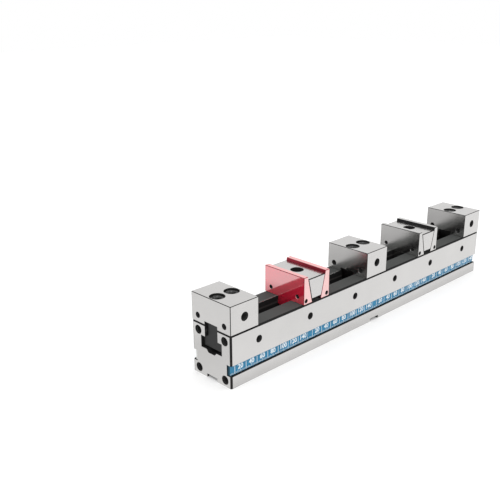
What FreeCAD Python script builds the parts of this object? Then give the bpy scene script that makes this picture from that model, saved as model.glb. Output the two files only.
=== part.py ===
import FreeCAD, Part
import math
import os

# Modular vise on a T-slot rail: three bolted jaws and two double wedge clamps between them.
# Millimetres. X runs along the rail, Y across it, Z up.
# The origin is on the underside, at mid-length and mid-width.

# Rail
rail_length = 600.0
rail_width = 75.0
rail_height = 75.0
rail_chamfer = 1.8
rail_foot_chamfer = 0.5

# T-slot along the top of the rail, with a chip relief in its floor
mouth_width = 25.0
mouth_depth = 17.0
mouth_chamfer = 0.6
slot_width = 40.5
slot_height = 17.0
relief_top_width = 19.5
relief_floor_width = 12.0
relief_depth = 4.0

# Clamping grooves in both long sides, and the scale bars against their back walls
groove_floor_height = 17.0
groove_height = 15.5
groove_depth = 8.5
strip_thickness = 4.3
strip_edge_gap = 0.2
strip_end_gap = 1.5

# Keyways in the underside, one along the rail and one across it
long_keyway_width = 20.0
long_keyway_depth = 5.0
cross_keyway_width = 20.0
cross_keyway_depth = 5.0

# Threaded holes of the rail
end_hole_diameter = 12.0
end_hole_depth = 22.0
end_hole_spacing = 51.0
end_hole_low = 9.0
end_hole_high = 64.0
side_hole_diameter = 10.0
side_hole_depth = 13.0
side_hole_height = 55.0
side_hole_pitch = 100.0
side_hole_count = 6

# Fixed jaws
jaw_length = 49.0
jaw_height = 40.0
jaw_edge = 0.6
jaw_key_slot_depth = 5.0
jaw_end_wall = 2.0
jaw_counterbore_diameter = 20.0
jaw_counterbore_depth = 14.0
jaw_clearance_diameter = 13.0
counterbore_chamfer = 0.8
stop_hole_diameter = 12.0
stop_hole_depth = 18.0
stop_hole_rise = 20.0
face_hole_diameter = 8.0
face_hole_depth = 14.0
face_drill_diameter = 6.8
face_hole_spacing = 51.0
face_hole_rise = 9.7

# T-nuts
nut_flange_width = 39.0
nut_flange_height = 14.5
nut_neck_side_gap = 0.1
nut_edge = 0.5
jaw_nut_end_wall = 2.6
jaw_nut_neck_rise = 4.7
clamp_nut_flange_length = 46.0
clamp_nut_neck_length = 24.0
clamp_nut_neck_drop = 9.0

# Socket head screws
jaw_screw_diameter = 12.0
jaw_screw_length = 50.0
jaw_screw_head_diameter = 18.0
jaw_screw_head_height = 12.0
jaw_screw_socket = 10.0
jaw_screw_socket_depth = 6.0
clamp_screw_diameter = 10.0
clamp_screw_length = 45.0
clamp_screw_head_diameter = 16.0
clamp_screw_head_height = 10.0
clamp_screw_socket = 8.0
clamp_screw_socket_depth = 5.0
screw_edge = 0.7
thread_running_gap = 0.05

# Double wedge clamps
clamp_length = 53.0
clamp_jaw_top = 8.0
wedge_angle = math.radians(13.4)
wedge_top_drop = 4.3
wedge_foot_gap = 5.2
wedge_edge = 0.6
wedge_running_gap = 0.05
wedge_counterbore_diameter = 18.0
wedge_counterbore_depth = 17.0
wedge_clearance_diameter = 11.0
tongue_depth = 13.0
tongue_length = 11.0
tongue_root = 8.0
clamp_face_hole_diameter = 6.0
clamp_face_hole_depth = 9.0
clamp_stop_hole_diameter = 6.0
clamp_stop_hole_depth = 7.0
clamp_stop_hole_inset = 5.0
clamp_stop_hole_rise = 5.0

# T-ribs of the wedge, which hook into the clamp jaws and draw them back
rib_neck_width = 8.0
rib_neck_depth = 2.5
rib_head_width = 14.0
rib_head_depth = 3.0
rib_rise = 16.0
rib_gap = 0.2
wedge_lift = 4.2

# Lift springs round the clamp screws
spring_inner_diameter = 11.4
spring_wire = 1.5
spring_turns = 4.5
spring_end_gap = 0.05

# Mouth chamfers of threaded holes, and the point angle of the drill
hole_mouth_chamfer = 0.35
drill_point = math.radians(118.0)
through = 1.0

half_length = rail_length / 2
half_width = rail_width / 2
slot_ceiling = rail_height - mouth_depth
slot_floor = slot_ceiling - slot_height
jaw_top_z = rail_height + jaw_height
end_jaw_x = half_length - jaw_length / 2
clamp_x = end_jaw_x / 2
clamp_half = clamp_length / 2
jaw_screw_spacing = jaw_length - jaw_counterbore_diameter - 2 * jaw_end_wall
slope = math.tan(wedge_angle)
wedge_top_z = jaw_top_z - wedge_top_drop
wedge_foot_z = rail_height + wedge_foot_gap
clamp_nut_top_z = rail_height - clamp_nut_neck_drop

fixed_jaws = {"left": -end_jaw_x, "centre": 0.0, "right": end_jaw_x}
clamps = {"left": -clamp_x, "right": clamp_x}


def vector(x, y, z):
    return FreeCAD.Vector(x, y, z)


def centred_box(x, y, z, length, width, height):
    """Box whose base is centred at x, y and starts at z."""
    return Part.makeBox(length, width, height, vector(x - length / 2, y - width / 2, z))


def prism_along_x(points, start, length):
    """Solid from an outline of (y, z) points, drawn out along X."""
    corners = [vector(start, y, z) for y, z in points]
    wire = Part.makePolygon(corners + corners[:1])
    return Part.Face(wire).extrude(vector(length, 0, 0))


def prism_across(points, width):
    """Solid from an outline of (x, z) points, drawn out evenly to both sides of Y = 0."""
    corners = [vector(x, -width / 2, z) for x, z in points]
    wire = Part.makePolygon(corners + corners[:1])
    return Part.Face(wire).extrude(vector(0, width, 0))


def both_sides(half_outline):
    """Closed outline from its right half, mirrored about the centre line."""
    left = [(-y, z) for y, z in reversed(half_outline) if y > 0]
    return half_outline + left


def break_edges(solid, size):
    return solid.makeChamfer(size, solid.Edges)


def bored_hole(diameter, depth, mouth, inward):
    """Cutter for a drilled and tapped hole: mouth chamfer, wall and drill point."""
    radius = diameter / 2
    rim = radius + hole_mouth_chamfer
    wall = Part.makeCylinder(radius, depth + through, mouth - inward * through, inward)
    funnel = Part.makeCone(rim + through, radius, hole_mouth_chamfer + through,
                           mouth - inward * through, inward)
    point = Part.makeCone(radius, 0, radius / math.tan(drill_point / 2),
                          mouth + inward * depth, inward)
    return wall.fuse([funnel, point])


def rail_section():
    """Right half of the rail's cross-section, from the keyway up and round to the slot floor."""
    shoulder = half_width - groove_depth
    groove_top = groove_floor_height + groove_height
    return [
        (0, long_keyway_depth),
        (long_keyway_width / 2, long_keyway_depth),
        (long_keyway_width / 2, 0),
        (half_width - rail_foot_chamfer, 0),
        (half_width, rail_foot_chamfer),
        (half_width, groove_floor_height),
        (shoulder, groove_floor_height),
        (shoulder, groove_top),
        (half_width, groove_top),
        (half_width, rail_height - rail_chamfer),
        (half_width - rail_chamfer, rail_height),
        (mouth_width / 2 + mouth_chamfer, rail_height),
        (mouth_width / 2, rail_height - mouth_chamfer),
        (mouth_width / 2, slot_ceiling),
        (slot_width / 2, slot_ceiling),
        (slot_width / 2, slot_floor),
        (relief_top_width / 2, slot_floor),
        (relief_floor_width / 2, slot_floor - relief_depth),
        (0, slot_floor - relief_depth),
    ]


def rail_end_trim():
    """Body that leaves the corners and top edges of both rail ends chamfered."""
    inner = half_length - rail_chamfer
    shoulder_z = rail_height - rail_chamfer
    side_view = [(-half_length, 0), (half_length, 0), (half_length, shoulder_z),
                 (inner, rail_height), (-inner, rail_height), (-half_length, shoulder_z)]
    plan = Part.makeBox(rail_length, rail_width, rail_height, vector(-half_length, -half_width, 0))
    corners = [edge for edge in plan.Edges if edge.BoundBox.ZLength > through]
    return prism_across(side_view, rail_width).common(plan.makeChamfer(rail_chamfer, corners))


def rail_end_holes():
    cutters = []
    for end in (-1, 1):
        for side in (-1, 1):
            for height in (end_hole_low, end_hole_high):
                mouth = vector(end * half_length, side * end_hole_spacing / 2, height)
                cutters.append(bored_hole(end_hole_diameter, end_hole_depth, mouth, vector(-end, 0, 0)))
    return cutters


def rail_side_holes():
    cutters = []
    first = -side_hole_pitch * (side_hole_count - 1) / 2
    for side in (-1, 1):
        for index in range(side_hole_count):
            mouth = vector(first + index * side_hole_pitch, side * half_width, side_hole_height)
            cutters.append(bored_hole(side_hole_diameter, side_hole_depth, mouth, vector(0, -side, 0)))
    return cutters


def base_rail():
    body = prism_along_x(both_sides(rail_section()), -half_length, rail_length)
    body = body.common(rail_end_trim())
    cross_keyway = centred_box(0, 0, -through, cross_keyway_width,
                               rail_width + 2 * through, cross_keyway_depth + through)
    return body.cut([cross_keyway] + rail_end_holes() + rail_side_holes())


def marking_strip(side):
    """Scale bar on the back wall of one clamping groove; side is -1 at the front, 1 at the rear."""
    height = groove_height - 2 * strip_edge_gap
    middle = side * (half_width - groove_depth + strip_thickness / 2)
    return centred_box(0, middle, groove_floor_height + strip_edge_gap,
                       rail_length - 2 * strip_end_gap, strip_thickness, height)


def counterbore(diameter, depth, x, top_z):
    """Cutter for a screw head's round pocket, sunk from above, with a chamfered mouth."""
    radius = diameter / 2
    rim = radius + counterbore_chamfer
    wall = Part.makeCylinder(radius, depth + through, vector(x, 0, top_z - depth))
    funnel = Part.makeCone(radius, rim + through, counterbore_chamfer + through,
                           vector(x, 0, top_z - counterbore_chamfer))
    return wall.fuse(funnel)


def face_holes(face_x, inward, diameter, depth):
    """The pair of threaded holes low in a clamping face."""
    cutters = []
    for side in (-1, 1):
        mouth = vector(face_x, side * face_hole_spacing / 2, rail_height + face_hole_rise)
        cutters.append(bored_hole(diameter, depth, mouth, vector(inward, 0, 0)))
    return cutters


def face_drills(x):
    """The pair of tap drills that run right through a fixed jaw, from face to face."""
    return [Part.makeCylinder(face_drill_diameter / 2, jaw_length,
                              vector(x - jaw_length / 2, side * face_hole_spacing / 2,
                                     rail_height + face_hole_rise), vector(1, 0, 0))
            for side in (-1, 1)]


def jaw_screw_places(x):
    return {"a": x - jaw_screw_spacing / 2, "b": x + jaw_screw_spacing / 2}


def fixed_jaw(x):
    block = break_edges(centred_box(x, 0, rail_height, jaw_length, rail_width, jaw_height), jaw_edge)
    cutters = [centred_box(x, 0, rail_height - through, jaw_length + 2 * through,
                           mouth_width, jaw_key_slot_depth + through)]
    for screw_x in jaw_screw_places(x).values():
        cutters.append(Part.makeCylinder(jaw_clearance_diameter / 2, jaw_height + 2 * through,
                                         vector(screw_x, 0, rail_height - through)))
        cutters.append(counterbore(jaw_counterbore_diameter, jaw_counterbore_depth, screw_x, jaw_top_z))
    cutters += face_drills(x)
    for side in (-1, 1):
        mouth = vector(x, side * half_width, rail_height + stop_hole_rise)
        cutters.append(bored_hole(stop_hole_diameter, stop_hole_depth, mouth, vector(0, -side, 0)))
        cutters += face_holes(x + side * jaw_length / 2, -side, face_hole_diameter, face_hole_depth)
    return block.cut(cutters)


def t_nut(x, flange_length, neck_length, neck_top_z, screw_places, screw_diameter):
    """Nut that fills the T-slot under the slot's ceiling, with its neck in the mouth."""
    flange = centred_box(x, 0, slot_ceiling - nut_flange_height,
                         flange_length, nut_flange_width, nut_flange_height)
    neck_foot = slot_ceiling - nut_flange_height / 2
    neck = centred_box(x, 0, neck_foot, neck_length, mouth_width - 2 * nut_neck_side_gap,
                       neck_top_z - neck_foot)
    body = break_edges(flange, nut_edge).fuse(break_edges(neck, nut_edge))
    radius = screw_diameter / 2 + thread_running_gap
    height = neck_top_z - slot_floor
    cutters = [Part.makeCylinder(radius, height, vector(screw_x, 0, slot_floor))
               for screw_x in screw_places]
    return body.cut(cutters)


def jaw_t_nut(x):
    length = jaw_screw_spacing + jaw_screw_diameter + 2 * jaw_nut_end_wall
    return t_nut(x, length, length, rail_height + jaw_nut_neck_rise,
                 jaw_screw_places(x).values(), jaw_screw_diameter)


def clamp_t_nut(x):
    return t_nut(x, clamp_nut_flange_length, clamp_nut_neck_length, clamp_nut_top_z,
                 [x], clamp_screw_diameter)


def hexagon(across_flats, foot, height):
    """Hexagonal prism standing on the point foot."""
    radius = across_flats / math.sqrt(3)
    angles = [math.radians(60 * corner) for corner in range(7)]
    corners = [foot + vector(radius * math.cos(a), radius * math.sin(a), 0) for a in angles]
    return Part.Face(Part.makePolygon(corners)).extrude(vector(0, 0, height))


def socket_screw(x, seat_z, diameter, length, head_diameter, head_height, socket, socket_depth):
    """Socket head cap screw standing upright, with the underside of its head at seat_z."""
    edge = screw_edge
    tip_z = seat_z - length
    top_z = seat_z + head_height
    outline = [(0, tip_z), (diameter / 2 - edge, tip_z), (diameter / 2, tip_z + edge),
               (diameter / 2, seat_z), (head_diameter / 2, seat_z),
               (head_diameter / 2, top_z - edge), (head_diameter / 2 - edge, top_z), (0, top_z)]
    corners = [vector(x + r, 0, z) for r, z in outline]
    face = Part.Face(Part.makePolygon(corners + corners[:1]))
    body = face.revolve(vector(x, 0, 0), vector(0, 0, 1), 360)
    pocket = hexagon(socket, vector(x, 0, top_z - socket_depth), socket_depth + through)
    return body.cut(pocket)


def jaw_screw(x):
    return socket_screw(x, jaw_top_z - jaw_counterbore_depth, jaw_screw_diameter, jaw_screw_length,
                        jaw_screw_head_diameter, jaw_screw_head_height,
                        jaw_screw_socket, jaw_screw_socket_depth)


def clamp_screw(x):
    return socket_screw(x, wedge_top_z - wedge_counterbore_depth, clamp_screw_diameter,
                        clamp_screw_length, clamp_screw_head_diameter, clamp_screw_head_height,
                        clamp_screw_socket, clamp_screw_socket_depth)


def slope_half(z):
    """Distance from the clamp's middle to the sloping face of its jaws, at height z."""
    return clamp_half - clamp_jaw_top - (jaw_top_z - z) * slope


def slope_band(x, side, low_z, high_z, inner, outer, width):
    """Block that follows the sloping face, between two offsets outwards from it."""
    low = slope_half(low_z)
    high = slope_half(high_z)
    outline = [(x + side * (low + inner), low_z), (x + side * (low + outer), low_z),
               (x + side * (high + outer), high_z), (x + side * (high + inner), high_z)]
    return prism_across(outline, width)


def clamp_wedge(x):
    foot = slope_half(wedge_foot_z) - wedge_running_gap
    top = slope_half(wedge_top_z) - wedge_running_gap
    outline = [(x - foot, wedge_foot_z), (x + foot, wedge_foot_z),
               (x + top, wedge_top_z), (x - top, wedge_top_z)]
    body = break_edges(prism_across(outline, rail_width), wedge_edge)
    rib_foot_z = wedge_foot_z + wedge_edge
    rib_top_z = wedge_foot_z + rib_rise
    root = wedge_running_gap + wedge_edge
    for side in (-1, 1):
        neck = slope_band(x, side, rib_foot_z, rib_top_z, -root,
                          rib_neck_depth + rib_head_depth / 2, rib_neck_width)
        head = slope_band(x, side, rib_foot_z, rib_top_z, rib_neck_depth,
                          rib_neck_depth + rib_head_depth, rib_head_width)
        body = body.fuse([neck, head])
    pocket = counterbore(wedge_counterbore_diameter, wedge_counterbore_depth, x, wedge_top_z)
    hole = Part.makeCylinder(wedge_clearance_diameter / 2, jaw_height, vector(x, 0, rail_height))
    return body.cut([pocket, hole])


def clamp_jaw(x, side):
    """One of the two jaws that the wedge drives apart; side is -1 or 1 along X."""
    outer = x + side * clamp_half
    inner_top = x + side * slope_half(jaw_top_z)
    inner_foot = x + side * slope_half(rail_height)
    outline = [(outer, rail_height), (outer, jaw_top_z), (inner_top, jaw_top_z), (inner_foot, rail_height)]
    block = break_edges(prism_across(outline, rail_width), jaw_edge)
    tongue = centred_box(outer - side * (tongue_length / 2 + jaw_edge), 0, rail_height - tongue_depth,
                         tongue_length, mouth_width - 2 * nut_neck_side_gap, tongue_depth + tongue_root)
    body = block.fuse(break_edges(tongue, jaw_edge))
    groove_top_z = wedge_foot_z + rib_rise + wedge_lift + rib_gap
    low_z = rail_height - through
    neck = slope_band(x, side, low_z, groove_top_z, -through, rib_neck_depth + rib_gap,
                      rib_neck_width + 2 * rib_gap)
    head = slope_band(x, side, low_z, groove_top_z, rib_neck_depth - rib_gap,
                      rib_neck_depth + rib_head_depth + rib_gap, rib_head_width + 2 * rib_gap)
    cutters = [neck, head] + face_holes(outer, -side, clamp_face_hole_diameter, clamp_face_hole_depth)
    for end in (-1, 1):
        mouth = vector(outer - side * clamp_stop_hole_inset, end * half_width,
                       rail_height + clamp_stop_hole_rise)
        cutters.append(bored_hole(clamp_stop_hole_diameter, clamp_stop_hole_depth, mouth,
                                  vector(0, -end, 0)))
    return body.cut(cutters)


def lift_spring(x):
    """Compression spring with ground ends, between the nut's neck and the wedge's underside."""
    low_z = clamp_nut_top_z + spring_end_gap
    high_z = wedge_foot_z - spring_end_gap
    inner = spring_inner_diameter / 2
    outer = inner + spring_wire
    half_wire = spring_wire / 2
    pitch = (high_z - low_z) / spring_turns
    helix = Part.makeHelix(pitch, high_z - low_z, inner + half_wire)
    corners = [vector(inner, 0, -half_wire), vector(outer, 0, -half_wire),
               vector(outer, 0, half_wire), vector(inner, 0, half_wire)]
    section = Part.makePolygon(corners + corners[:1])
    coil = Part.Wire(helix).makePipeShell([section], True, True)
    coil.translate(vector(x, 0, low_z))
    span = centred_box(x, 0, low_z, 4 * outer, 4 * outer, high_z - low_z)
    return coil.common(span)


def vise_nodes():
    nodes = {"base_rail": base_rail(),
             "marking_strip_front": marking_strip(-1),
             "marking_strip_rear": marking_strip(1)}
    for place, x in fixed_jaws.items():
        nodes["fixed_jaw_" + place] = fixed_jaw(x)
        nodes["jaw_t_nut_" + place] = jaw_t_nut(x)
        for letter, screw_x in jaw_screw_places(x).items():
            nodes["jaw_screw_" + place + "_" + letter] = jaw_screw(screw_x)
    for place, x in clamps.items():
        nodes["clamp_wedge_" + place] = clamp_wedge(x)
        nodes["clamp_jaw_" + place + "_a"] = clamp_jaw(x, -1)
        nodes["clamp_jaw_" + place + "_b"] = clamp_jaw(x, 1)
        nodes["clamp_t_nut_" + place] = clamp_t_nut(x)
        nodes["clamp_screw_" + place] = clamp_screw(x)
        nodes["lift_spring_" + place] = lift_spring(x)
    return nodes


os.makedirs("parts", exist_ok=True)
for name, shape in vise_nodes().items():
    print(name, shape.ShapeType, len(shape.Solids), shape.isValid(), round(shape.Volume, 1))
    shape.exportStep("parts/" + name + ".step")
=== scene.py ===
import itertools
import math

import bmesh
import bpy
from mathutils import Matrix, Vector


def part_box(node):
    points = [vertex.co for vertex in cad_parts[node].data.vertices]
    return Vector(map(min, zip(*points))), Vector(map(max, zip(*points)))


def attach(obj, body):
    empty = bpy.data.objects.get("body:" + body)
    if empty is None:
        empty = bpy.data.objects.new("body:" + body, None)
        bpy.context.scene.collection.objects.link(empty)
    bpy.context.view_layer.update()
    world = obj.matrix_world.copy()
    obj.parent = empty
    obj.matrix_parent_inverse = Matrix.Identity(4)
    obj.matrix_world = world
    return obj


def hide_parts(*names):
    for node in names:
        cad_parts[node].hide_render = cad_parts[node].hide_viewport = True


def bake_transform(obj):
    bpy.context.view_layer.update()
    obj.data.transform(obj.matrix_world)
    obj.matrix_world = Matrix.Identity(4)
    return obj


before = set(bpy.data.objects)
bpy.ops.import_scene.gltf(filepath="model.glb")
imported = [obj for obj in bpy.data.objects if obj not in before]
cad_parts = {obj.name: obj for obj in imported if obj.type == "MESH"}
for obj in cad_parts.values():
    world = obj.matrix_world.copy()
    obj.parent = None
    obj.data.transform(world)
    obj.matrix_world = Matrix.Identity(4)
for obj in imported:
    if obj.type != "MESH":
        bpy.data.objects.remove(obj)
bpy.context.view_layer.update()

# Main places on the vise, in metres, read from the frame
RAIL_LOW, RAIL_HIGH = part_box("base_rail")
RAIL_TOP = RAIL_HIGH[2]
JAW_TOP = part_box("fixed_jaw_left")[1][2]
STRIP_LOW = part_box("marking_strip_front")[0]

# The camera's place, aim and lens, solved from the corners in the photograph
CAMERA_PLACE = (-0.8390, -0.6359, 0.4729)
CAMERA_AZIMUTH = math.radians(-43.79)
CAMERA_ELEVATION = math.radians(19.396)
CAMERA_ROLL = math.radians(-0.473)
CAMERA_FOCAL_PIXELS = 715.9
PHOTO_PIXELS = 500
SENSOR_WIDTH = 36.0

# Metric threads: outer radius and pitch, in metres
M6 = (0.0030, 0.00100)
M8 = (0.0040, 0.00125)
M10 = (0.0050, 0.00150)
M12 = (0.0060, 0.00175)
# Depth of a thread and half the height of its ridge, in pitches
THREAD_DEPTH = 0.6134
RIDGE_HALF_HEIGHT = 0.44
# Length without a thread at the mouth of a tapped hole, in metres
PLAIN_MOUTH = 0.0006

# Tapped holes, in metres: how deep the threads go, and where the mouths lie
HOLE_SIDE = 0.0255
RAIL_END_DEPTH = 0.022
RAIL_END_HEIGHTS = (0.009, 0.064)
RAIL_SIDE_DEPTH = 0.013
RAIL_SIDE_HEIGHT = 0.055
RAIL_SIDE_PLACES = [0.1 * step - 0.25 for step in range(6)]
JAW_SIDE_DEPTH = 0.018
JAW_SIDE_HEIGHT = 0.020
JAW_FACE_DEPTH = 0.014
FACE_HOLE_HEIGHT = 0.0097
CLAMP_FACE_DEPTH = 0.009
CLAMP_SIDE_DEPTH = 0.007
CLAMP_SIDE_INSET = 0.005
CLAMP_SIDE_HEIGHT = 0.005
# Turns that make a hole modelled upwards open to each side
TO_LEFT = (0, math.radians(-90), 0)
TO_RIGHT = (0, math.radians(90), 0)
TO_FRONT = (math.radians(90), 0, 0)
TO_REAR = (math.radians(-90), 0, 0)

# Cap screws, in metres: thread, shank's length and plain length, head (radius, height) and key (width, depth)
JAW_SCREW = (M12, 0.050, 0.014, (0.009, 0.012), (0.010, 0.006))
CLAMP_SCREW = (M10, 0.045, 0.013, (0.008, 0.010), (0.008, 0.005))
# Their heads: sides, rounding, knurl, and the depth of the socket's point in radii of the socket
HEAD_SIDES = 72
HEAD_ROUNDING = 0.0007
KNURL_GAP = 0.00016
KNURL_DEPTH = 0.00022
SOCKET_POINT = 0.25
# Their shanks: bevel of the tip, and what the thread leaves free at the tip and at both ends together
TIP_BEVEL = 0.0005
TIP_GAP = 0.0004
GAPS_TOGETHER = 0.0006
# How far each screw stands turned, in degrees
SCREW_TURNS = {
    "jaw_screw_left_a": 12, "jaw_screw_left_b": 41,
    "jaw_screw_centre_a": 27, "jaw_screw_centre_b": 3,
    "jaw_screw_right_a": 52, "jaw_screw_right_b": 18,
    "clamp_screw_left": 35, "clamp_screw_right": 8,
}

# Lift springs: turns, and where the end rings and the coil lie, in radii of the wire
SPRING_TURNS = 4
RING_HEIGHT = 0.6
COIL_END = 1.6

# Scale bars: lengths in millimetres, then each set of lines as spacing, width, length and shift in metres
RAIL_MM = 600
SCALE_MM = 150
FIGURE_STEP_MM = 20
STRIP_LINES = (
    (0.001, 0.00032, 0.0022, 0.0),
    (0.005, 0.00045, 0.0028, 0.0),
    (0.010, 0.00060, 0.0036, 0.0),
    (0.020, 0.00080, 0.0110, 0.010),
)
# Height of the lines' feet above a bar's lower edge, in metres
STRIP_FOOT = 0.0004
# The figures' height above that edge, size, boldness and thickness, and their gap from the bar, in metres
FIGURE_FOOT = 0.0050
FIGURE_SIZE = 0.0095
FIGURE_BOLDNESS = 0.00028
INK_THICKNESS = 0.00003
INK_GAP = 0.00002

# Painted places, in metres: a wedge's slope as sideways per height, a clamp jaw's width on top, the line in
# the slot, a painted glint that stands for a reflection on its walls, and how wide the edges of the blocks
# are painted
WEDGE_SLOPE = math.tan(math.radians(13.4))
CLAMP_LIP = 0.008
SLOT_HALF_WIDTH = 0.0130
SLOT_GLINT_DEPTH = 0.0092
SLOT_GLINT_EDGE = (0.0017, 0.0011)
SLOPE_FACE_EDGE = (0.0004, 0.0002)
EDGE_FADE = 0.0001
JAW_EDGE = 0.0008
# The wedges' and the rail's edge bands reach past their chamfers: oxide on the chamfer, and painted shade
# beyond it, in the gap where a wedge meets its jaws and along the rail's edges
WEDGE_EDGE_AND_GAP_SHADE = 0.0012
RAIL_EDGE_AND_SHADE = 0.0024
# A length past every face of the vise, and a height below all of them
FAR = 10.0
NO_FLOOR = -1.0

# How squarely a face points up, roughly up or sideways, or to a bar's end: none of it from, all of it from
FACING_UP = (0.90, 0.98)
FACING_ROUGHLY = (0.6, 0.8)
FACING_END = (0.7, 0.9)
# Steel: how much less of a metal the rail's dark top is, and how rough the oxide is
TOP_DULLNESS = 0.95
OXIDE_ROUGHNESS = 0.60
# Lacquer: share of the full red on top, the rest being the painted pale sheen, share of metal under the coat,
# and roughness where the coat is missing
TOP_FULL_RED_SHARE = 0.3
LACQUER_METAL = 0.45
BARE_ROUGHNESS = 0.3
# Height of the scale bars' slow waves, in metres
BAR_WAVES = 0.00004

# Colours, linear
STEEL = (0.70, 0.69, 0.68, 1)
DARK_STEEL = (0.073, 0.076, 0.074, 1)
OXIDE = (0.018, 0.018, 0.018, 1)
GLINT_GREY = (0.050, 0.048, 0.046, 1)
NUT_GREY = (0.055, 0.055, 0.055, 1)
SCREW_GREY = (0.075, 0.075, 0.075, 1)
WIRE_GREY = (0.25, 0.25, 0.25, 1)
RED = (1.0, 0.008, 0.055, 1)
# Pale red painted on the lacquer's narrow sides and tops as a sheen, for the bright light they mirror
SHEEN_PALE_RED = (1.0, 0.40, 0.38, 1)
# Deep red painted as shade along the lacquer's edges and on its sloping face, in the gap at the wedge
SHADE_DEEP_RED = (0.30, 0.030, 0.048, 1)
STRIP_BLUE = (0.028, 0.212, 0.385, 1)
# Dark teal painted on the front bar's ends as the blue in shade
STRIP_SHADE_TEAL = (0.004, 0.045, 0.075, 1)
STRIP_SAWN = (0.62, 0.62, 0.61, 1)
STRIP_PALE = (0.82, 0.89, 0.93, 1)
FLOOR_GREY = (0.9, 0.9, 0.9, 1)
WHITE = (1, 1, 1, 1)

# Shades of the floor that only mirrored light picks up: from and to in metres, and the brightness at both
BEHIND_LEFT = (-0.34, -0.30)
BEHIND_RIGHT = (0.42, 0.36)
BEHIND_NEAR = (0.11, 0.16)
BEHIND_AWAY = (0.13, 0.27, 0.48, 0.68)
BEHIND_ALONG = (-0.14, -0.06, 1.0, 0.85)
SIDE_SHADE = (RAIL_LOW[1] - 0.035, RAIL_LOW[1], 1.0, 0.80)
END_SHADE = (RAIL_LOW[0] - 0.14, RAIL_LOW[0] - 0.08, 1.0, 0.85)
END_SHADE_STOP = (0.09, 0.13)
FRONT_TO_BACK = (-0.05, 0.25, 1.0, 0.88)
# The floor's size in metres, and the light of its own that only the camera sees
FLOOR_SIZE = 12
FLOOR_GLOW = 0.10

# The surroundings' brightness in plain light, in mirrored light and as the camera sees them
SKY_PLAIN = 1.12
SKY_MIRRORED = 0.86
SKY_SEEN = 1.0
# Lamps: name, place in metres, size in metres and power in watts
LAMPS = (
    ("key", (-1.3, -1.1, 2.0), 1.2, 9.0),
    ("fill", (1.4, -0.6, 1.9), 1.4, 5.0),
)


class Nodes:
    """Adds and links shader nodes in one tree."""

    def __init__(self, tree):
        self.tree = tree

    def add(self, kind, **values):
        node = self.tree.nodes.new(kind)
        for key, value in values.items():
            setattr(node, key, value)
        return node

    def link(self, source, target):
        self.tree.links.new(source, target)

    def feed(self, socket, value):
        """Links value if it is an output socket, and otherwise sets it."""
        if isinstance(value, bpy.types.NodeSocket):
            self.link(value, socket)
        elif value is not None:
            socket.default_value = value

    def math(self, operation, a, b=None, c=None, clamp=False):
        node = self.add("ShaderNodeMath", operation=operation, use_clamp=clamp)
        for socket, value in zip(node.inputs, (a, b, c)):
            self.feed(socket, value)
        return node.outputs[0]

    def vector(self, operation, a, b):
        node = self.add("ShaderNodeVectorMath", operation=operation)
        for socket, value in zip(node.inputs, (a, b)):
            self.feed(socket, value)
        return node.outputs["Vector"]

    def scaled(self, colour, factor):
        node = self.add("ShaderNodeVectorMath", operation="SCALE")
        node.inputs[0].default_value = colour[:3]
        self.feed(node.inputs["Scale"], factor)
        return node.outputs["Vector"]

    def ramp(self, value, low, high, low_out=0.0, high_out=1.0):
        node = self.add("ShaderNodeMapRange", interpolation_type="SMOOTHSTEP")
        for key, entry in (("Value", value), ("From Min", low), ("From Max", high),
                           ("To Min", low_out), ("To Max", high_out)):
            self.feed(node.inputs[key], entry)
        return node.outputs["Result"]

    def mix(self, factor, a, b):
        node = self.add("ShaderNodeMix", data_type="RGBA")
        self.feed(node.inputs[0], factor)
        self.feed(node.inputs[6], a)
        self.feed(node.inputs[7], b)
        return node.outputs[2]

    def blend(self, factor, a, b):
        node = self.add("ShaderNodeMix", data_type="FLOAT")
        self.feed(node.inputs[0], factor)
        self.feed(node.inputs[2], a)
        self.feed(node.inputs[3], b)
        return node.outputs[0]

    def group(self, tree, **values):
        """Outputs of a new group node; an underscore in a keyword stands for a space in the input's name."""
        node = self.add("ShaderNodeGroup")
        node.node_tree = tree
        for key, value in values.items():
            self.feed(node.inputs[key.replace("_", " ")], value)
        return node.outputs

    def place(self):
        """The shaded point in the object's own coordinates."""
        return self.add("ShaderNodeTexCoord").outputs["Object"]

    def split(self, vector):
        node = self.add("ShaderNodeSeparateXYZ")
        self.link(vector, node.inputs[0])
        return node.outputs

    def normal(self):
        """X, Y and Z of the direction that the surface faces."""
        return self.split(self.add("ShaderNodeNewGeometry").outputs["Normal"])

    def noise(self, place, scale, detail=2.0):
        node = self.add("ShaderNodeTexNoise")
        self.link(place, node.inputs["Vector"])
        node.inputs["Scale"].default_value = scale
        node.inputs["Detail"].default_value = detail
        return node.outputs["Fac"]

    def rays(self):
        """Whether a ray comes from the camera, and whether it has been mirrored or let through."""
        path = self.add("ShaderNodeLightPath").outputs
        mirrored = self.math("MAXIMUM", path["Is Glossy Ray"], path["Is Transmission Ray"])
        return path["Is Camera Ray"], mirrored


def new_group(name, inputs, outputs):
    """Empty shader node group with the sockets asked for: (name, kind, default) and (name, kind)."""
    tree = bpy.data.node_groups.new(name, "ShaderNodeTree")
    for label, kind, default in inputs:
        socket = tree.interface.new_socket(label, in_out="INPUT", socket_type="NodeSocket" + kind)
        socket.default_value = default
    for label, kind in outputs:
        tree.interface.new_socket(label, in_out="OUTPUT", socket_type="NodeSocket" + kind)
    nodes = Nodes(tree)
    return tree, nodes, nodes.add("NodeGroupInput").outputs, nodes.add("NodeGroupOutput").inputs


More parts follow.
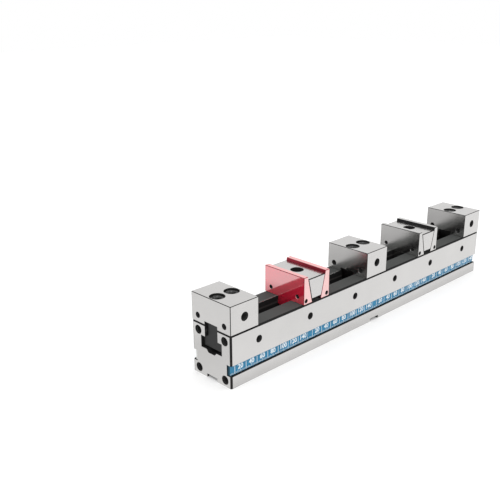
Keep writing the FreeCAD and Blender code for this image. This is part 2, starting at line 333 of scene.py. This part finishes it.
def build_skin_group():
    """Masks of a block's unground places, of its edges and of its sloping face.

    Holes, slots and chamfers lie under the flat outer faces, and weren't reached by the grinding wheel. An
    edge band set wider than its chamfer paints shade past it.
    """
    tree, n, given, out = new_group(
        "Unground places",
        [("Low", "Vector", (0, 0, 0)), ("High", "Vector", (1, 1, 1)), ("Middle", "Float", 0.0),
         ("Half at zero", "Float", FAR), ("Slope", "Float", 0.0), ("Slope ground", "Float", 1.0),
         ("Floor", "Float", NO_FLOOR), ("Start", "Float", 0.00004), ("Softness", "Float", 0.00012),
         ("Edge", "Float", 0.0)],
        [("Mask", "Float"), ("Edges", "Float"), ("Slope face", "Float")])
    place = n.place()
    above = n.vector("SUBTRACT", place, given["Low"])
    below = n.vector("SUBTRACT", given["High"], place)
    least = n.split(n.vector("MINIMUM", above, below))
    part = n.split(place)
    # Distance to a sloping face whose half-width grows with height
    half = n.math("MULTIPLY_ADD", part["Z"], given["Slope"], given["Half at zero"])
    offset = n.math("ABSOLUTE", n.math("SUBTRACT", part["X"], given["Middle"]))
    sloped = n.math("SUBTRACT", half, offset)
    n.link(n.ramp(n.math("ABSOLUTE", sloped), *SLOPE_FACE_EDGE), out["Slope face"])
    unused = n.math("MULTIPLY", n.math("SUBTRACT", 1.0, given["Slope ground"]), FAR)
    along = n.math("MINIMUM", least["X"], n.math("ADD", sloped, unused))
    depth = n.math("MINIMUM", n.math("MINIMUM", along, least["Y"]), least["Z"])
    deep = n.ramp(depth, given["Start"], n.math("ADD", given["Softness"], given["Start"]))
    # The middle one of the three distances is small along an upper or upright edge
    under = n.split(below)
    wider = n.math("MAXIMUM", along, least["Y"])
    second = n.math("MAXIMUM", n.math("MINIMUM", along, least["Y"]), n.math("MINIMUM", wider, under["Z"]))
    n.link(n.ramp(second, given["Edge"], n.math("SUBTRACT", given["Edge"], EDGE_FADE)), out["Edges"])
    above_floor = n.ramp(part["Z"], n.math("SUBTRACT", given["Floor"], EDGE_FADE), given["Floor"])
    n.link(n.math("MULTIPLY", deep, above_floor), out["Mask"])
    return tree


def build_grinding_group():
    """Fine grinding lines along X and slow cloudiness: tint, roughness and bump."""
    lines_per_metre = (14, 2600, 2600)
    clouds_per_metre = 22.0
    line_tint = 0.16
    cloud_tint = 0.12
    cloud_roughness = 3.0
    line_height = 0.00002
    tree, n, given, out = new_group(
        "Grinding marks",
        [("Line strength", "Float", 0.5), ("Roughness low", "Float", 0.18), ("Roughness high", "Float", 0.3)],
        [("Tint", "Float"), ("Roughness", "Float"), ("Height", "Float")])
    place = n.place()
    stretch = n.add("ShaderNodeMapping")
    n.link(place, stretch.inputs["Vector"])
    stretch.inputs["Scale"].default_value = lines_per_metre
    lines = n.noise(stretch.outputs[0], scale=1.0, detail=3.0)
    clouds = n.noise(place, scale=clouds_per_metre, detail=4.0)
    fine = n.math("MULTIPLY", n.math("SUBTRACT", lines, 0.5), given["Line strength"])
    slow = n.math("MULTIPLY", n.math("SUBTRACT", clouds, 0.5), cloud_tint)
    n.link(n.math("ADD", 1.0, n.math("ADD", n.math("MULTIPLY", fine, line_tint), slow)), out["Tint"])
    level = n.math("ADD", n.math("ADD", 0.5, fine), n.math("MULTIPLY", slow, cloud_roughness), clamp=True)
    n.link(n.blend(level, given["Roughness low"], given["Roughness high"]), out["Roughness"])
    n.link(n.math("MULTIPLY", fine, line_height), out["Height"])
    return tree


def build_graduation_group():
    """Upright lines at an even spacing along each scale of the bar, between two heights, as a mask."""
    tree, n, given, out = new_group(
        "Graduations",
        [("Spacing", "Float", 0.01), ("Width", "Float", 0.0003), ("Low", "Float", 0.0),
         ("High", "Float", 1.0), ("Shift", "Float", 0.0)],
        [("Mask", "Float")])
    part = n.split(n.place())
    along = n.math("FLOORED_MODULO", n.math("SUBTRACT", part["X"], RAIL_LOW[0]), SCALE_MM / 1000)
    steps = n.math("DIVIDE", n.math("ADD", along, given["Shift"]), given["Spacing"])
    nearest = n.math("ROUND", steps)
    offset = n.math("MULTIPLY", n.math("ABSOLUTE", n.math("SUBTRACT", steps, nearest)), given["Spacing"])
    inside = n.math("LESS_THAN", offset, n.math("MULTIPLY", given["Width"], 0.5))
    above = n.math("GREATER_THAN", part["Z"], given["Low"])
    below = n.math("LESS_THAN", part["Z"], given["High"])
    n.link(n.math("MULTIPLY", inside, n.math("MULTIPLY", above, below)), out["Mask"])
    return tree


SKIN = build_skin_group()
GRINDING = build_grinding_group()
GRADUATIONS = build_graduation_group()


def new_material(name):
    """New material, its nodes and the inputs of its shader."""
    material = bpy.data.materials.new(name)
    material.use_nodes = True
    shader = material.node_tree.nodes["Principled BSDF"].inputs
    return material, Nodes(material.node_tree), shader


def raise_surface(n, shader, height, strength=0.5):
    """Feeds a height in metres to the shader as bump."""
    bump = n.add("ShaderNodeBump")
    n.feed(bump.inputs["Height"], height)
    bump.inputs["Strength"].default_value = strength
    bump.inputs["Distance"].default_value = 1.0
    n.link(bump.outputs["Normal"], shader["Normal"])


def slot_line(n):
    """Thin paler line painted along each wall of the rail's slot as a glint standing for a reflection, as a
    mask.
    """
    part = n.split(n.place())
    inside = n.math("LESS_THAN", n.math("ABSOLUTE", part["Y"]), SLOT_HALF_WIDTH)
    offset = n.math("ABSOLUTE", n.math("SUBTRACT", part["Z"], RAIL_TOP - SLOT_GLINT_DEPTH))
    return n.math("MULTIPLY", inside, n.ramp(offset, *SLOT_GLINT_EDGE))


def ground_steel(name, low, high, middle=0.0, half=FAR, slope=0.0, floor=NO_FLOOR, edge=JAW_EDGE,
                 dark_top=None):
    """Ground bright steel whose holes, slots and edges keep their black oxide."""
    material, n, shader = new_material(name)
    grind = n.group(GRINDING, Roughness_low=0.14, Roughness_high=0.26)
    skin = n.group(SKIN, Low=low, High=high, Middle=middle, Half_at_zero=half, Slope=slope,
                   Floor=floor, Edge=edge)
    # Oxide on hollows and chamfers; an edge band wider than its chamfer adds painted shade past it
    oxide = n.math("MAXIMUM", skin["Mask"], skin["Edges"])
    bright = n.scaled(STEEL, grind["Tint"])
    dark = OXIDE
    polish = 1.0
    if dark_top is not None:
        top = n.ramp(n.normal()["Z"], *FACING_UP)
        bright = n.mix(top, bright, n.scaled(dark_top, grind["Tint"]))
        # The slot's walls carry a thin painted glint, a reflection painted into the oxide
        dark = n.mix(slot_line(n), OXIDE, GLINT_GREY)
        polish = n.math("SUBTRACT", 1.0, n.math("MULTIPLY", top, TOP_DULLNESS))
    n.link(n.mix(oxide, bright, dark), shader["Base Color"])
    metal = n.math("MULTIPLY", n.math("SUBTRACT", 1.0, oxide), polish)
    n.link(metal, shader["Metallic"])
    shader["Specular IOR Level"].default_value = 0.05
    dull = n.math("SUBTRACT", 1.0, metal, clamp=True)
    n.link(n.blend(dull, grind["Roughness"], OXIDE_ROUGHNESS), shader["Roughness"])
    raise_surface(n, shader, grind["Height"])
    return material


def red_lacquer(name, low, high, **places):
    """Satin red metal under a clear glossy coat, black in the holes, with a painted pale sheen on the narrow
    sides and tops, and painted deep red shade along the edges and on the sloping face.
    """
    material, n, shader = new_material(name)
    grind = n.group(GRINDING, Roughness_low=0.40, Roughness_high=0.50, Line_strength=0.3)
    skin = n.group(SKIN, Low=low, High=high, Start=0.0001, Softness=0.0002, Edge=JAW_EDGE, **places)
    facing = n.normal()
    # Broad faces get the full red, and the narrow sides and most of the tops get a painted pale sheen
    broad = n.math("MAXIMUM", n.ramp(n.math("ABSOLUTE", facing["X"]), *FACING_ROUGHLY),
                   n.ramp(facing["Z"], *FACING_ROUGHLY, high_out=TOP_FULL_RED_SHARE))
    coat = n.mix(broad, n.scaled(SHEEN_PALE_RED, grind["Tint"]), n.scaled(RED, grind["Tint"]))
    red = n.mix(skin["Mask"], coat, OXIDE)
    # Edges and the sloping face take painted deep red shade, without the coat
    deep = n.math("MAXIMUM", skin["Edges"], skin["Slope face"])
    n.link(n.mix(deep, red, SHADE_DEEP_RED), shader["Base Color"])
    bare = n.math("MAXIMUM", skin["Mask"], deep)
    n.link(n.blend(bare, LACQUER_METAL, 1.0), shader["Metallic"])
    n.link(n.blend(bare, grind["Roughness"], BARE_ROUGHNESS), shader["Roughness"])
    n.link(n.math("SUBTRACT", 1.0, bare), shader["Coat Weight"])
    shader["Coat IOR"].default_value = 4.6
    shader["Coat Roughness"].default_value = 0.08
    raise_surface(n, shader, grind["Height"], strength=0.3)
    return material


def plain_metal(name, colour, roughness=(0.25, 0.4), metallic=1.0):
    material, n, shader = new_material(name)
    grind = n.group(GRINDING, Roughness_low=roughness[0], Roughness_high=roughness[1])
    n.link(n.scaled(colour, grind["Tint"]), shader["Base Color"])
    n.link(grind["Roughness"], shader["Roughness"])
    shader["Metallic"].default_value = metallic
    shader["Specular IOR Level"].default_value = 0.2
    raise_surface(n, shader, grind["Height"])
    return material


def strip_plastic(name, ends):
    """Blue scale bar with pale graduations that rise from its lower edge, and ends of another colour: dark
    teal painted as shade on the front bar, sawn grey on the rear.

    The lines are short every 1, 5 and 10 mm, and tall at the odd tens, between the figures.
    """
    material, n, shader = new_material(name)
    clouds = n.noise(n.place(), scale=60.0, detail=4.0)
    blue = n.scaled(STRIP_BLUE, n.ramp(clouds, 0.3, 0.7, low_out=0.86, high_out=1.14))
    foot = STRIP_LOW[2] + STRIP_FOOT
    marks = 0.0
    for spacing, width, length, shift in STRIP_LINES:
        lines = n.group(GRADUATIONS, Spacing=spacing, Width=width, Low=foot, High=foot + length, Shift=shift)
        marks = n.math("MAXIMUM", marks, lines["Mask"])
    # End faces take their own colour: painted shade on the front bar, sawn grey on the rear
    end_facing = n.ramp(n.math("ABSOLUTE", n.normal()["X"]), *FACING_END)
    n.link(n.mix(end_facing, n.mix(marks, blue, STRIP_PALE), ends), shader["Base Color"])
    shader["Specular IOR Level"].default_value = 0.3
    n.link(n.ramp(clouds, 0.2, 0.8, low_out=0.3, high_out=0.45), shader["Roughness"])
    raise_surface(n, shader, n.math("MULTIPLY", clouds, BAR_WAVES), strength=0.2)
    return material


def pale_ink():
    """Pale ink of the strips' figures, slightly uneven."""
    material, n, shader = new_material("strip ink")
    specks = n.noise(n.place(), scale=900.0)
    n.link(n.scaled(STRIP_PALE, n.ramp(specks, 0.3, 0.6, low_out=0.9, high_out=1.05)), shader["Base Color"])
    n.link(n.ramp(specks, 0.2, 0.8, low_out=0.35, high_out=0.5), shader["Roughness"])
    return material


THREAD_STEEL = plain_metal("thread oxide", OXIDE, (0.35, 0.5), metallic=0.0)
SCREW_BLACK = plain_metal("screw black oxide", SCREW_GREY, (0.22, 0.38))
NUT_BLACK = plain_metal("nut blackened steel", NUT_GREY, (0.3, 0.45))
SPRING_WIRE = plain_metal("spring wire", WIRE_GREY)
STRIP_INK = pale_ink()


def dress(node, material):
    """Gives a CAD node its finish."""
    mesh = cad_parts[node].data
    mesh.materials.clear()
    mesh.materials.append(material)


def dress_all():
    dress("base_rail", ground_steel("rail ground steel", RAIL_LOW, RAIL_HIGH, edge=RAIL_EDGE_AND_SHADE,
                                    dark_top=DARK_STEEL))
    dress("marking_strip_front", strip_plastic("front printed strip", STRIP_SHADE_TEAL))
    dress("marking_strip_rear", strip_plastic("rear printed strip", STRIP_SAWN))
    for place in ("left", "centre", "right"):
        jaw = "fixed_jaw_" + place
        low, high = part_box(jaw)
        dress(jaw, ground_steel(jaw + " ground steel", low, high))
        dress("jaw_t_nut_" + place, NUT_BLACK)
    for place in ("left", "right"):
        a, b = "clamp_jaw_" + place + "_a", "clamp_jaw_" + place + "_b"
        middle = (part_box(a)[0][0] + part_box(b)[1][0]) / 2
        top_half = (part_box(b)[1][0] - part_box(a)[0][0]) / 2 - CLAMP_LIP
        half_at_zero = top_half - JAW_TOP * WEDGE_SLOPE
        for jaw in (a, b):
            low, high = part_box(jaw)
            low = (low[0], low[1], RAIL_TOP)
            if place == "left":
                finish = red_lacquer(jaw + " red lacquer", low, high, Middle=middle,
                                     Half_at_zero=half_at_zero, Slope=WEDGE_SLOPE, Slope_ground=0.0,
                                     Floor=RAIL_TOP)
            else:
                finish = ground_steel(jaw + " ground steel", low, high, floor=RAIL_TOP)
            dress(jaw, finish)
        wedge = "clamp_wedge_" + place
        low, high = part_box(wedge)
        dress(wedge, ground_steel(wedge + " ground steel", low, high, edge=WEDGE_EDGE_AND_GAP_SHADE, middle=middle,
                                  half=half_at_zero, slope=WEDGE_SLOPE))
        dress("clamp_t_nut_" + place, NUT_BLACK)
        dress("lift_spring_" + place, SPRING_WIRE)
    for node in SCREW_TURNS:
        dress(node, SCREW_BLACK)


def fresh(add, name, **values):
    """Adds a primitive at the origin, with nothing else selected, names it and enters edit mode."""
    bpy.ops.object.select_all(action="DESELECT")
    add(**values)
    piece = bpy.context.object
    piece.name = piece.data.name = name
    bpy.ops.object.mode_set(mode="EDIT")
    return piece


def pick_faces(piece, test):
    """Selects the faces that pass the test, in edit mode."""
    bpy.ops.mesh.select_mode(type="FACE")
    bpy.ops.mesh.select_all(action="DESELECT")
    mesh = bmesh.from_edit_mesh(piece.data)
    for face in mesh.faces:
        face.select = test(face)
    mesh.select_flush_mode()
    bmesh.update_edit_mesh(piece.data)


def faces_up(face):
    return face.normal.z > 0.5


def faces_down(face):
    return face.normal.z < -0.5


def every_second_side(face):
    """Whether an upright face of a screw's head is one of those that the knurl sinks."""
    if abs(face.normal.z) > 0.1:
        return False
    angle = math.atan2(face.normal.y, face.normal.x)
    return round(angle / math.radians(360 / HEAD_SIDES) - 0.5) % 2 == 0


def finish_editing(piece):
    """Closes any open end, turns the faces outwards and leaves edit mode."""
    bpy.ops.mesh.select_mode(type="VERT")
    bpy.ops.mesh.select_all(action="SELECT")
    bpy.ops.mesh.fill_holes(sides=0)
    bpy.ops.mesh.normals_make_consistent(inside=False)
    bpy.ops.object.mode_set(mode="OBJECT")
    bpy.ops.object.shade_smooth_by_angle(angle=math.radians(30))
    return piece


def use(piece, kind, **values):
    """Adds a modifier and applies it."""
    bpy.context.view_layer.objects.active = piece
    modifier = piece.modifiers.new(kind, kind)
    for key, value in values.items():
        setattr(modifier, key, value)
    bpy.ops.object.modifier_apply(modifier=modifier.name)


def join(pieces, name):
    """Makes one piece of several, with its place in its mesh."""
    bpy.ops.object.select_all(action="DESELECT")
    for piece in pieces:
        piece.select_set(True)
    bpy.context.view_layer.objects.active = pieces[0]
    bpy.ops.object.join()
    whole = bpy.context.object
    whole.name = whole.data.name = name
    bpy.ops.object.transform_apply(location=True, rotation=True, scale=True)
    return whole


def copy_to(piece, place, turn=(0, 0, 0)):
    """Copy with its own mesh, moved and turned into place."""
    bpy.ops.object.select_all(action="DESELECT")
    piece.select_set(True)
    bpy.context.view_layer.objects.active = piece
    bpy.ops.object.duplicate(linked=False)
    copied = bpy.context.object
    copied.location = place
    copied.rotation_euler = turn
    return copied


def helix(name, radius, half_width, half_height, pitch, low, turns, corners, steps):
    """Ridge or wire wound about the Z axis, from a wire outline that the Screw modifier draws out."""
    piece = fresh(bpy.ops.mesh.primitive_circle_add, name, vertices=corners, radius=1,
                  rotation=(math.radians(90), 0, 0))
    bpy.ops.object.mode_set(mode="OBJECT")
    bpy.ops.object.transform_apply(rotation=True)
    bpy.ops.object.mode_set(mode="EDIT")
    bpy.ops.transform.resize(value=(half_width, 1, half_height))
    bpy.ops.transform.translate(value=(radius, 0, low))
    bpy.ops.object.mode_set(mode="OBJECT")
    use(piece, "SCREW", axis="Z", angle=2 * math.pi, screw_offset=pitch, iterations=turns,
        steps=steps, render_steps=steps)
    bpy.ops.object.mode_set(mode="EDIT")
    return finish_editing(piece)


def ridge(name, radius, pitch, low, turns, steps):
    """Ridge of a thread; four corners make its outline a rhombus."""
    return helix(name, radius, THREAD_DEPTH * pitch, RIDGE_HALF_HEIGHT * pitch, pitch, low, turns,
                 corners=4, steps=steps)


def inner_thread(thread, depth):
    """Helical ridge of a tapped hole that opens upwards at the origin."""
    radius, pitch = thread
    turns = int((depth - 2 * PLAIN_MOUTH) / pitch)
    return ridge("thread", radius, pitch, -PLAIN_MOUTH - (turns + 0.5) * pitch, turns, steps=18)


def threads(name, body, groups):
    """Threads of all the tapped holes in one body, as one piece.

    Each group is a thread, its depth, the turn that makes it open outwards, and the places of the mouths.
    """
    made = []
    for thread, depth, turn, places in groups:
        master = inner_thread(thread, depth)
        made += [copy_to(master, place, turn) for place in places]
        bpy.data.objects.remove(master)
    piece = join(made, name)
    piece.data.materials.append(THREAD_STEEL)
    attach(piece, body)


def rail_threads():
    groups = []
    for turn, x in ((TO_LEFT, RAIL_LOW[0]), (TO_RIGHT, RAIL_HIGH[0])):
        places = [(x, side * HOLE_SIDE, z) for side in (-1, 1) for z in RAIL_END_HEIGHTS]
        groups.append((M12, RAIL_END_DEPTH, turn, places))
    for turn, y in ((TO_FRONT, RAIL_LOW[1]), (TO_REAR, RAIL_HIGH[1])):
        places = [(x, y, RAIL_SIDE_HEIGHT) for x in RAIL_SIDE_PLACES]
        groups.append((M10, RAIL_SIDE_DEPTH, turn, places))
    threads("rail_threads", "rail", groups)


def jaw_threads(place):
    low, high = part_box("fixed_jaw_" + place)
    middle = (low[0] + high[0]) / 2
    groups = [(M12, JAW_SIDE_DEPTH, TO_FRONT, [(middle, low[1], RAIL_TOP + JAW_SIDE_HEIGHT)]),
              (M12, JAW_SIDE_DEPTH, TO_REAR, [(middle, high[1], RAIL_TOP + JAW_SIDE_HEIGHT)])]
    for turn, x in ((TO_LEFT, low[0]), (TO_RIGHT, high[0])):
        places = [(x, side * HOLE_SIDE, RAIL_TOP + FACE_HOLE_HEIGHT) for side in (-1, 1)]
        groups.append((M8, JAW_FACE_DEPTH, turn, places))
    threads("fixed_jaw_" + place + "_threads", "fixed_jaw_" + place, groups)


def clamp_jaw_threads(place, letter):
    node = "clamp_jaw_" + place + "_" + letter
    low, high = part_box(node)
    side, x, turn = (-1, low[0], TO_LEFT) if letter == "a" else (1, high[0], TO_RIGHT)
    places = [(x, way * HOLE_SIDE, RAIL_TOP + FACE_HOLE_HEIGHT) for way in (-1, 1)]
    groups = [(M6, CLAMP_FACE_DEPTH, turn, places)]
    inset, z = x - side * CLAMP_SIDE_INSET, RAIL_TOP + CLAMP_SIDE_HEIGHT
    for turn, y in ((TO_FRONT, low[1]), (TO_REAR, high[1])):
        groups.append((M6, CLAMP_SIDE_DEPTH, turn, [(inset, y, z)]))
    threads(node + "_threads", node, groups)


def pin(name, radius, length, bevel, sides):
    """Round pin that hangs from the origin, with a bevel round its lower end."""
    piece = fresh(bpy.ops.mesh.primitive_cylinder_add, name, vertices=sides, radius=radius, depth=length)
    bpy.ops.transform.translate(value=(0, 0, -length / 2))
    pick_faces(piece, faces_down)
    bpy.ops.mesh.bevel(offset=bevel, segments=1, affect="EDGES")
    return finish_editing(piece)


def cap_screw(name, thread, length, plain, head, key):
    """Socket head cap screw whose head stands on the origin; head is (radius, height), key (width, depth)."""
    radius, pitch = thread
    top = fresh(bpy.ops.mesh.primitive_cylinder_add, name + "_head", vertices=HEAD_SIDES, radius=head[0],
                depth=head[1])
    bpy.ops.transform.translate(value=(0, 0, head[1] / 2))
    pick_faces(top, faces_up)
    bpy.ops.mesh.bevel(offset=HEAD_ROUNDING, segments=3, affect="EDGES")
    pick_faces(top, every_second_side)
    bpy.ops.mesh.inset(thickness=KNURL_GAP, depth=-KNURL_DEPTH, use_individual=True)
    finish_editing(top)
    corner = key[0] / math.sqrt(3)
    socket = fresh(bpy.ops.mesh.primitive_cylinder_add, "socket", vertices=6, radius=corner, depth=2 * key[1])
    bpy.ops.transform.translate(value=(0, 0, head[1]))
    pick_faces(socket, faces_down)
    bpy.ops.mesh.extrude_region_move(TRANSFORM_OT_translate={"value": (0, 0, -SOCKET_POINT * corner)})
    bpy.ops.mesh.merge(type="CENTER")
    finish_editing(socket)
    use(top, "BOOLEAN", operation="DIFFERENCE", object=socket, solver="EXACT")
    bpy.data.objects.remove(socket)
    core = radius - THREAD_DEPTH * pitch
    shank = pin(name + "_shank", core, length, TIP_BEVEL, sides=40)
    neck = pin(name + "_neck", radius, plain, radius - core, sides=48)
    turns = int((length - plain - GAPS_TOGETHER) / pitch)
    wound = ridge(name + "_ridge", core, pitch, -length + TIP_GAP + 0.5 * pitch, turns, steps=24)
    return join([top, shank, neck, wound], name)


def screws():
    """The detailed screws stand for the plain ones of the frame."""
    for kind, sizes in (("jaw_screw", JAW_SCREW), ("clamp_screw", CLAMP_SCREW)):
        master = cap_screw(kind, *sizes)
        head = sizes[3][1]
        for node in (name for name in SCREW_TURNS if name.startswith(kind)):
            low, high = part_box(node)
            turn = math.radians(SCREW_TURNS[node])
            piece = copy_to(master, ((low[0] + high[0]) / 2, 0, high[2] - head), (0, 0, turn))
            piece = join([piece], node + "_detail")
            piece.data.materials.append(SCREW_BLACK)
            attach(piece, node)
            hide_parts(node)
        bpy.data.objects.remove(master)


def lift_spring(place):
    """Round wire spring with closed, ground ends, between the nut's neck and the wedge."""
    node = "lift_spring_" + place
    low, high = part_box(node)
    wire = 0.00075
    radius = (high[0] - low[0]) / 2 - wire
    height = high[2] - low[2]
    rings = []
    for z in (RING_HEIGHT * wire, height - RING_HEIGHT * wire):
        ring = fresh(bpy.ops.mesh.primitive_torus_add, "ring", major_radius=radius, minor_radius=wire,
                     major_segments=48, minor_segments=12)
        bpy.ops.transform.translate(value=(0, 0, z))
        rings.append(finish_editing(ring))
    pitch = (height - 2 * COIL_END * wire) / SPRING_TURNS
    coil = helix("coil", radius, wire, wire, pitch, COIL_END * wire, SPRING_TURNS, corners=12, steps=36)
    whole = join(rings + [coil], node + "_detail")
    bpy.ops.object.mode_set(mode="EDIT")
    for z, upper in ((0.0, False), (height, True)):
        bpy.ops.mesh.select_all(action="SELECT")
        bpy.ops.mesh.bisect(plane_co=(0, 0, z), plane_no=(0, 0, 1), use_fill=True,
                            clear_inner=not upper, clear_outer=upper)
    finish_editing(whole)
    middle = (low[0] + high[0]) / 2
    whole.location = (middle, 0, low[2])
    whole = join([whole], node + "_detail")
    whole.data.materials.append(SPRING_WIRE)
    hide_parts(node)
    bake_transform(whole)


def strip_figures(side, face_y, turn):
    """Four equal scales of 150 mm along a bar, each numbered every 20 mm from its own left end."""
    made = []
    starts = range(0, RAIL_MM, SCALE_MM)
    values = range(FIGURE_STEP_MM, SCALE_MM, FIGURE_STEP_MM)
    for start, value in itertools.product(starts, values):
        x = RAIL_LOW[0] + (start + value) / 1000
        bpy.ops.object.select_all(action="DESELECT")
        bpy.ops.object.text_add(location=(x if side == "front" else -x, face_y, STRIP_LOW[2] + FIGURE_FOOT),
                                rotation=(math.radians(90), 0, turn))
        text = bpy.context.object
        text.data.body = str(value)
        text.data.size = FIGURE_SIZE
        text.data.align_x = "CENTER"
        text.data.offset = FIGURE_BOLDNESS
        text.data.extrude = INK_THICKNESS
        text.data.resolution_u = 3
        bpy.ops.object.convert(target="MESH")
        made.append(bpy.context.object)
    piece = join(made, "strip_figures_" + side)
    piece.data.materials.append(STRIP_INK)
    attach(piece, "rail")


def details():
    rail_threads()
    for place in ("left", "centre", "right"):
        jaw_threads(place)
    for place in ("left", "right"):
        for letter in "ab":
            clamp_jaw_threads(place, letter)
        lift_spring(place)
    screws()
    strip_figures("front", STRIP_LOW[1] - INK_GAP, 0.0)
    strip_figures("rear", -STRIP_LOW[1] + INK_GAP, math.radians(180))


def floor_shade(n):
    """Brightness of the floor in mirrored light, with painted shade zones that only the polished faces pick
    up.
    """
    part = n.split(n.place())
    beside = n.math("MULTIPLY", n.ramp(part["X"], *BEHIND_LEFT), n.ramp(part["X"], *BEHIND_RIGHT))
    behind = n.math("MULTIPLY", beside, n.ramp(part["Y"], *BEHIND_NEAR))
    shade = n.math("MULTIPLY", n.ramp(part["Y"], *BEHIND_AWAY), n.ramp(part["X"], *BEHIND_ALONG))
    # A painted contact shadow makes the floor close to the rail's near side and near end a little darker as
    # well
    in_front = n.math("LESS_THAN", part["Y"], RAIL_LOW[1])
    at_end = n.blend(n.ramp(part["Y"], *END_SHADE_STOP), n.ramp(part["X"], *END_SHADE), 1.0)
    foot_shade = n.blend(in_front, at_end, n.ramp(part["Y"], *SIDE_SHADE))
    plain = n.math("MULTIPLY", foot_shade, n.ramp(part["Y"], *FRONT_TO_BACK))
    return n.blend(behind, plain, shade)


def floor():
    bpy.ops.object.select_all(action="DESELECT")
    bpy.ops.mesh.primitive_plane_add(size=FLOOR_SIZE, location=(0, 0, 0))
    piece = bpy.context.object
    piece.name = "floor"
    material, n, shader = new_material("pale floor")
    seen, mirrored = n.rays()
    shader["Base Color"].default_value = FLOOR_GREY
    shader["Roughness"].default_value = 0.9
    shader["Emission Color"].default_value = WHITE
    n.link(n.math("MULTIPLY", seen, FLOOR_GLOW), shader["Emission Strength"])
    grey = n.add("ShaderNodeCombineColor")
    shade = floor_shade(n)
    for channel in grey.inputs:
        n.link(shade, channel)
    glow = n.add("ShaderNodeEmission")
    n.link(grey.outputs[0], glow.inputs["Color"])
    either = n.add("ShaderNodeMixShader")
    n.link(mirrored, either.inputs[0])
    n.link(material.node_tree.nodes["Principled BSDF"].outputs[0], either.inputs[1])
    n.link(glow.outputs[0], either.inputs[2])
    n.link(either.outputs[0], material.node_tree.nodes["Material Output"].inputs["Surface"])
    piece.data.materials.append(material)


def lights():
    world = bpy.data.worlds.new("studio")
    bpy.context.scene.world = world
    world.use_nodes = True
    n = Nodes(world.node_tree)
    background = world.node_tree.nodes["Background"].inputs
    background["Color"].default_value = WHITE
    seen, mirrored = n.rays()
    n.link(n.blend(seen, n.blend(mirrored, SKY_PLAIN, SKY_MIRRORED), SKY_SEEN), background["Strength"])
    for name, place, size, power in LAMPS:
        bpy.ops.object.light_add(type="AREA", location=place)
        lamp = bpy.context.object
        lamp.name = name
        lamp.data.size = size
        lamp.data.energy = power
        lamp.rotation_euler = (-Vector(place)).to_track_quat("-Z", "Y").to_euler()


def camera():
    a, e, r = CAMERA_AZIMUTH, CAMERA_ELEVATION, CAMERA_ROLL
    forward = Vector((-math.sin(a) * math.cos(e), math.cos(a) * math.cos(e), -math.sin(e)))
    level = forward.cross(Vector((0, 0, 1))).normalized()
    upright = level.cross(forward)
    right = level * math.cos(r) + upright * math.sin(r)
    up = upright * math.cos(r) - level * math.sin(r)
    turn = Matrix((right, up, -forward)).transposed()
    bpy.ops.object.camera_add(location=CAMERA_PLACE, rotation=turn.to_euler())
    taken = bpy.context.object
    taken.data.sensor_width = SENSOR_WIDTH
    taken.data.lens = CAMERA_FOCAL_PIXELS / PHOTO_PIXELS * SENSOR_WIDTH
    taken.data.clip_start = 0.01
    bpy.context.scene.camera = taken


dress_all()
details()
floor()
lights()
camera()
bpy.context.scene.view_settings.view_transform = "Standard"
